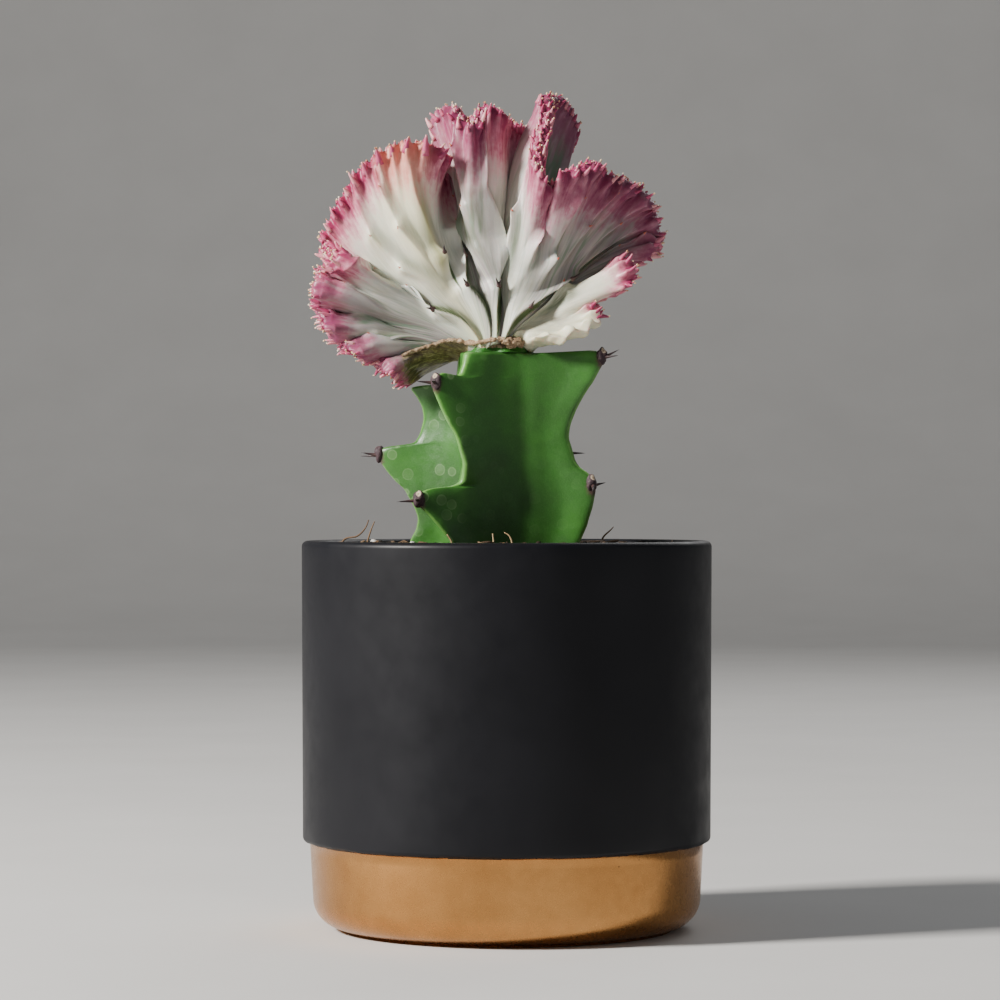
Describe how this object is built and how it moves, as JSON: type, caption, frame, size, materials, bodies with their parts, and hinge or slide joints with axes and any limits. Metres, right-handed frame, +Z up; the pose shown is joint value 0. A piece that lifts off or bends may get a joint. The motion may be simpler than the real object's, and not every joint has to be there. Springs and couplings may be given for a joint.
{
  "type": "potted coral cactus",
  "caption": "Crested pink and white succulent, a folded fan with a toothed edge grafted on a green ribbed stem, in a black ceramic pot with a gold foot.",
  "frame": {"origin": "on the pot's axis, at the surface that the pot stands on", "axes": "+Z up; the plant's front, the broad pale face of its crest, looks along -Y; +X to the viewer's right"},
  "size_m": [0.127, 0.127, 0.2612],
  "materials": {
    "pot": "matt black glaze over a satin copper-gold foot",
    "soil": "moist fibrous potting mix",
    "rootstock": "waxy green stem skin with dark areoles and spines",
    "graft_callus": "rough dry cork",
    "crest": "waxy variegated tissue, white to pink at its edge"
  },
  "bodies": {
    "root": {"pot": "pot", "soil": "soil", "rootstock": "rootstock", "graft_callus": "graft_callus", "crest": "crest"}
  },
  "joints": []
}
